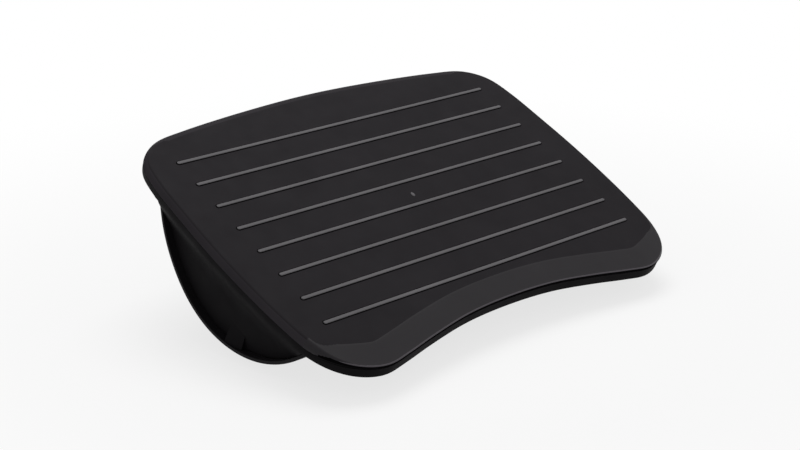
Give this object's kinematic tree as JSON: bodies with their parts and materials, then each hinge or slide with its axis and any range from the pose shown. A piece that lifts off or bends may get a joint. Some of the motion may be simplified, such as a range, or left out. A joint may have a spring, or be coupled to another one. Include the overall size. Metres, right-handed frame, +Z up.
{
  "type": "tilting under desk footrest",
  "caption": "Under desk footrest: a ribbed platform with a curved front edge on a half drum that tilts in a low friction cradle.",
  "frame": {"origin": "on the floor, under the middle of the footrest's overall box at the pictured tilt", "axes": "+X to the user's right and along the width, +Y away from the user towards the raised back edge, +Z up"},
  "size_m": [0.462, 0.3146, 0.1692],
  "materials": {
    "plate_plastic": "fine matt grain, black",
    "housing_plastic": "matt, black",
    "runner_plastic": "satin where it slides, black",
    "grip_strip": "matt light grey, slip resistant",
    "tray_plastic": "matt, black",
    "rubber": "matt black",
    "glide_pad": "smooth low friction plastic, off white",
    "friction_liner": "woven friction lining, dark brown",
    "clamp_shoe": "die cast, dull",
    "steel": "zinc plated"
  },
  "bodies": {
    "base": {"base_tray": "tray_plastic", "left_outer_glide_pad": "glide_pad", "left_inner_glide_pad": "glide_pad", "left_outer_friction_liner": "friction_liner", "left_inner_friction_liner": "friction_liner", "left_clamp_shoe": "clamp_shoe", "left_disc_spring": "steel", "left_clamp_washer": "steel", "left_clamp_nut": "steel", "left_clamp_bolt": "steel", "right_outer_glide_pad": "glide_pad", "right_inner_glide_pad": "glide_pad", "right_outer_friction_liner": "friction_liner", "right_inner_friction_liner": "friction_liner", "right_clamp_shoe": "clamp_shoe", "right_disc_spring": "steel", "right_clamp_washer": "steel", "right_clamp_nut": "steel", "right_clamp_bolt": "steel", "rubber_foot_1": "rubber", "rubber_foot_2": "rubber", "rubber_foot_3": "rubber", "rubber_foot_4": "rubber"},
    "platform": {"top_plate": "plate_plastic", "lower_housing": "housing_plastic", "curved_runner": "runner_plastic", "grip_strip_1": "grip_strip", "grip_strip_2": "grip_strip", "grip_strip_3": "grip_strip", "grip_strip_4": "grip_strip", "grip_strip_5": "grip_strip", "grip_strip_6": "grip_strip", "grip_strip_7": "grip_strip", "grip_strip_8": "grip_strip", "housing_screw_1": "steel", "housing_screw_2": "steel", "housing_screw_3": "steel", "housing_screw_4": "steel", "housing_screw_5": "steel", "runner_screw_1": "steel", "runner_screw_2": "steel", "runner_screw_3": "steel", "runner_screw_4": "steel", "runner_screw_5": "steel", "runner_screw_6": "steel"}
  },
  "joints": [
    {"name": "platform_tilt", "type": "hinge", "parent": "base", "child": "platform", "pos_m": [0, -0.03311, 0.13284], "axis": [1, 0, 0], "range_deg": [-39.2, 5.8]}
  ]
}
